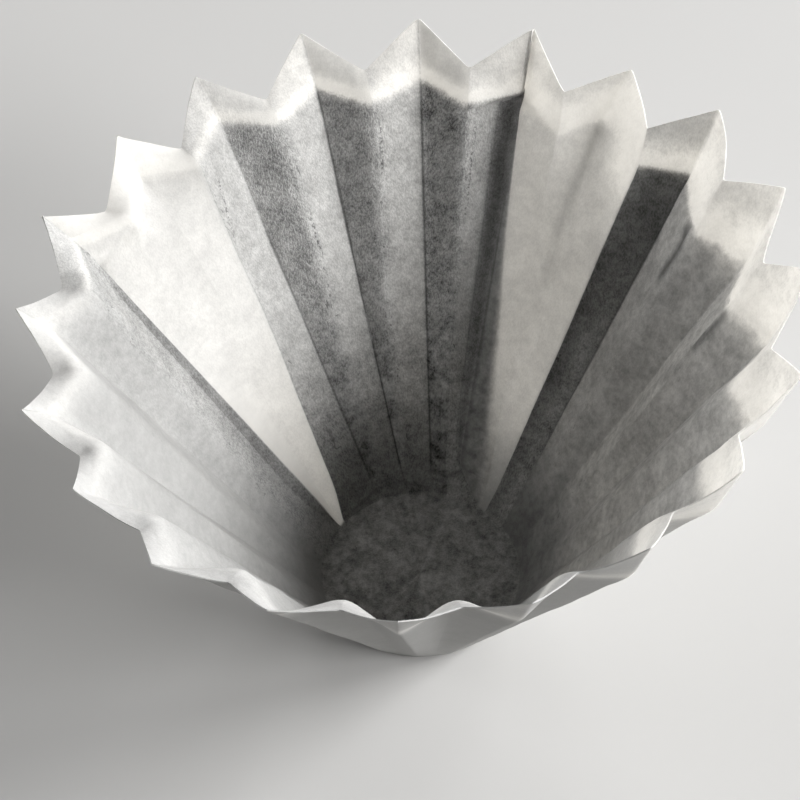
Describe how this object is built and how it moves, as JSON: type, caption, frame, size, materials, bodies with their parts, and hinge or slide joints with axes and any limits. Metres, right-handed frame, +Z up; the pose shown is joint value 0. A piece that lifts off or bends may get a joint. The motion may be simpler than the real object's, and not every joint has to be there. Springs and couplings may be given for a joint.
{
  "type": "paper coffee filter",
  "caption": "Pleated paper filter cup with a small flat base and a star-shaped mouth, for brewing ground coffee in a cone-shaped holder.",
  "frame": {"origin": "centre of the underside of the flat base", "axes": "+Z up through the open mouth, -Y towards the side the picture was taken from, +X to its right"},
  "size_m": [0.1135, 0.1136, 0.0717],
  "materials": {
    "filter_paper": "matt, bleached, lightly creped"
  },
  "bodies": {
    "root": {"filter_paper": "filter_paper"}
  },
  "joints": []
}
